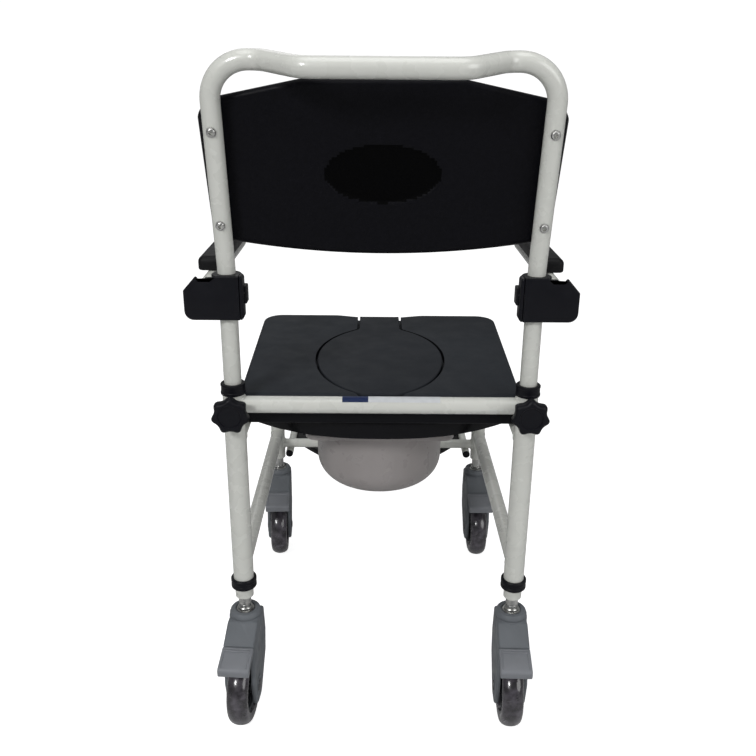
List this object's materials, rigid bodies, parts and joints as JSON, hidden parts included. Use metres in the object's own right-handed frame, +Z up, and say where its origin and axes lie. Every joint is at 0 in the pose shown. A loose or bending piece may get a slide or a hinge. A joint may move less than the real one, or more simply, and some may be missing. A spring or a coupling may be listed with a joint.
{
  "type": "mobile shower commode chair",
  "caption": "Wheeled shower commode chair with tubular frame, lift-out back, flip-up armrests, lidded seat, slide-out pan, sliding footplate and braked swivel casters.",
  "frame": {"origin": "on the floor under the middle of the bounding box", "axes": "+Z up; the chair faces -Y; +X is the sitter's left"},
  "size_m": [0.555, 0.8669, 1.0255],
  "materials": {
    "powder_coat": "gloss powder coat",
    "black_moulding": "satin",
    "backrest_skin": "matte moulded skin",
    "seat_skin": "matte moulded skin",
    "pan_plastic": "satin",
    "caster_grey": "satin",
    "tyre_rubber": "smooth",
    "hub_grey": "satin",
    "steel": "zinc plated"
  },
  "bodies": {
    "frame": {"rear_leg_l": "powder_coat", "rear_leg_r": "powder_coat", "side_frame_l": "powder_coat", "side_frame_r": "powder_coat", "lower_rail_l": "powder_coat", "lower_rail_r": "powder_coat", "crossbar_rear": "powder_coat", "crossbar_front": "powder_coat", "post_bush_l": "black_moulding", "post_bush_r": "black_moulding", "leg_collar_l": "black_moulding", "leg_collar_r": "black_moulding", "seat": "seat_skin", "pan_carrier": "black_moulding", "caster_stem_rear_l": "steel", "caster_stem_rear_r": "steel", "caster_stem_front_l": "steel", "caster_stem_front_r": "steel"},
    "back": {"back_frame": "powder_coat", "backrest": "backrest_skin", "back_screw_low_l": "steel", "back_screw_high_l": "steel", "back_screw_low_r": "steel", "back_screw_high_r": "steel", "arm_bracket_l": "black_moulding", "arm_bracket_r": "black_moulding", "arm_pin_l": "steel", "arm_pin_r": "steel"},
    "lid": {"seat_lid": "seat_skin"},
    "pan": {"pan": "pan_plastic"},
    "footrest": {"footplate": "black_moulding", "foot_slide_l": "powder_coat", "foot_slide_r": "powder_coat"},
    "arm_l": {"arm_tube_l": "powder_coat", "arm_pad_l": "black_moulding"},
    "knob_l": {"star_knob_l": "black_moulding"},
    "arm_r": {"arm_tube_r": "powder_coat", "arm_pad_r": "black_moulding"},
    "knob_r": {"star_knob_r": "black_moulding"},
    "caster_rear_l": {"caster_housing_rear_l": "caster_grey", "caster_axle_rear_l": "steel"},
    "wheel_rear_l": {"caster_tyre_rear_l": "tyre_rubber", "caster_hub_rear_l": "hub_grey"},
    "pedal_rear_l": {"caster_pedal_rear_l": "caster_grey"},
    "caster_rear_r": {"caster_housing_rear_r": "caster_grey", "caster_axle_rear_r": "steel"},
    "wheel_rear_r": {"caster_tyre_rear_r": "tyre_rubber", "caster_hub_rear_r": "hub_grey"},
    "pedal_rear_r": {"caster_pedal_rear_r": "caster_grey"},
    "caster_front_l": {"caster_housing_front_l": "caster_grey", "caster_axle_front_l": "steel"},
    "wheel_front_l": {"caster_tyre_front_l": "tyre_rubber", "caster_hub_front_l": "hub_grey"},
    "pedal_front_l": {"caster_pedal_front_l": "caster_grey"},
    "caster_front_r": {"caster_housing_front_r": "caster_grey", "caster_axle_front_r": "steel"},
    "wheel_front_r": {"caster_tyre_front_r": "tyre_rubber", "caster_hub_front_r": "hub_grey"},
    "pedal_front_r": {"caster_pedal_front_r": "caster_grey"}
  },
  "joints": [
    {"name": "back_lift", "type": "slide", "parent": "frame", "child": "back", "axis": [0, 0, 1], "range_m": [0, 0.1]},
    {"name": "lid_lift", "type": "slide", "parent": "frame", "child": "lid", "axis": [0, 0, 1], "range_m": [0, 0.1]},
    {"name": "pan_slide", "type": "slide", "parent": "frame", "child": "pan", "axis": [0, 1, 0], "range_m": [0, 0.28]},
    {"name": "footrest_slide", "type": "slide", "parent": "frame", "child": "footrest", "axis": [0, 1, 0], "range_m": [0, 0.2]},
    {"name": "arm_flip_l", "type": "hinge", "parent": "back", "child": "arm_l", "pos_m": [0.2565, 0.2936, 0.703], "axis": [-1, 0, 0], "range_deg": [0, 100]},
    {"name": "knob_turn_l", "type": "hinge", "parent": "frame", "child": "knob_l", "pos_m": [0.215, 0.3056, 0.537], "axis": [0, 1, 0], "continuous": true},
    {"name": "arm_flip_r", "type": "hinge", "parent": "back", "child": "arm_r", "pos_m": [-0.2565, 0.2936, 0.703], "axis": [-1, 0, 0], "range_deg": [0, 100]},
    {"name": "knob_turn_r", "type": "hinge", "parent": "frame", "child": "knob_r", "pos_m": [-0.215, 0.3056, 0.537], "axis": [0, 1, 0], "continuous": true},
    {"name": "swivel_rear_l", "type": "hinge", "parent": "frame", "child": "caster_rear_l", "pos_m": [0.215, 0.3056, 0.18], "axis": [0, 0, 1], "continuous": true},
    {"name": "wheel_turn_rear_l", "type": "hinge", "parent": "caster_rear_l", "child": "wheel_rear_l", "pos_m": [0.21751, 0.34151, 0.0625], "axis": [0.9976, -0.0698, 0], "continuous": true},
    {"name": "brake_pedal_rear_l", "type": "hinge", "parent": "caster_rear_l", "child": "pedal_rear_l", "pos_m": [0.21934, 0.36765, 0.1515], "axis": [0.9976, -0.0698, 0], "range_deg": [0, 12]},
    {"name": "swivel_rear_r", "type": "hinge", "parent": "frame", "child": "caster_rear_r", "pos_m": [-0.215, 0.3056, 0.18], "axis": [0, 0, 1], "continuous": true},
    {"name": "wheel_turn_rear_r", "type": "hinge", "parent": "caster_rear_r", "child": "wheel_rear_r", "pos_m": [-0.21374, 0.34158, 0.0625], "axis": [0.9994, -0.0349, 0], "continuous": true},
    {"name": "brake_pedal_rear_r", "type": "hinge", "parent": "caster_rear_r", "child": "pedal_rear_r", "pos_m": [-0.21283, 0.36776, 0.1515], "axis": [0.9994, -0.0349, 0], "range_deg": [0, 12]},
    {"name": "swivel_front_l", "type": "hinge", "parent": "frame", "child": "caster_front_l", "pos_m": [0.215, -0.1994, 0.18], "axis": [0, 0, 1], "continuous": true},
    {"name": "wheel_turn_front_l", "type": "hinge", "parent": "caster_front_l", "child": "wheel_front_l", "pos_m": [0.21312, -0.16345, 0.0625], "axis": [0.9986, 0.0523, 0], "continuous": true},
    {"name": "brake_pedal_front_l", "type": "hinge", "parent": "caster_front_l", "child": "pedal_front_l", "pos_m": [0.21174, -0.13728, 0.1515], "axis": [0.9986, 0.0523, 0], "range_deg": [0, 12]},
    {"name": "swivel_front_r", "type": "hinge", "parent": "frame", "child": "caster_front_r", "pos_m": [-0.215, -0.1994, 0.18], "axis": [0, 0, 1], "continuous": true},
    {"name": "wheel_turn_front_r", "type": "hinge", "parent": "caster_front_r", "child": "wheel_front_r", "pos_m": [-0.21563, -0.1634, 0.0625], "axis": [0.9998, 0.0175, 0], "continuous": true},
    {"name": "brake_pedal_front_r", "type": "hinge", "parent": "caster_front_r", "child": "pedal_front_r", "pos_m": [-0.21609, -0.13721, 0.1515], "axis": [0.9998, 0.0175, 0], "range_deg": [0, 12]}
  ]
}
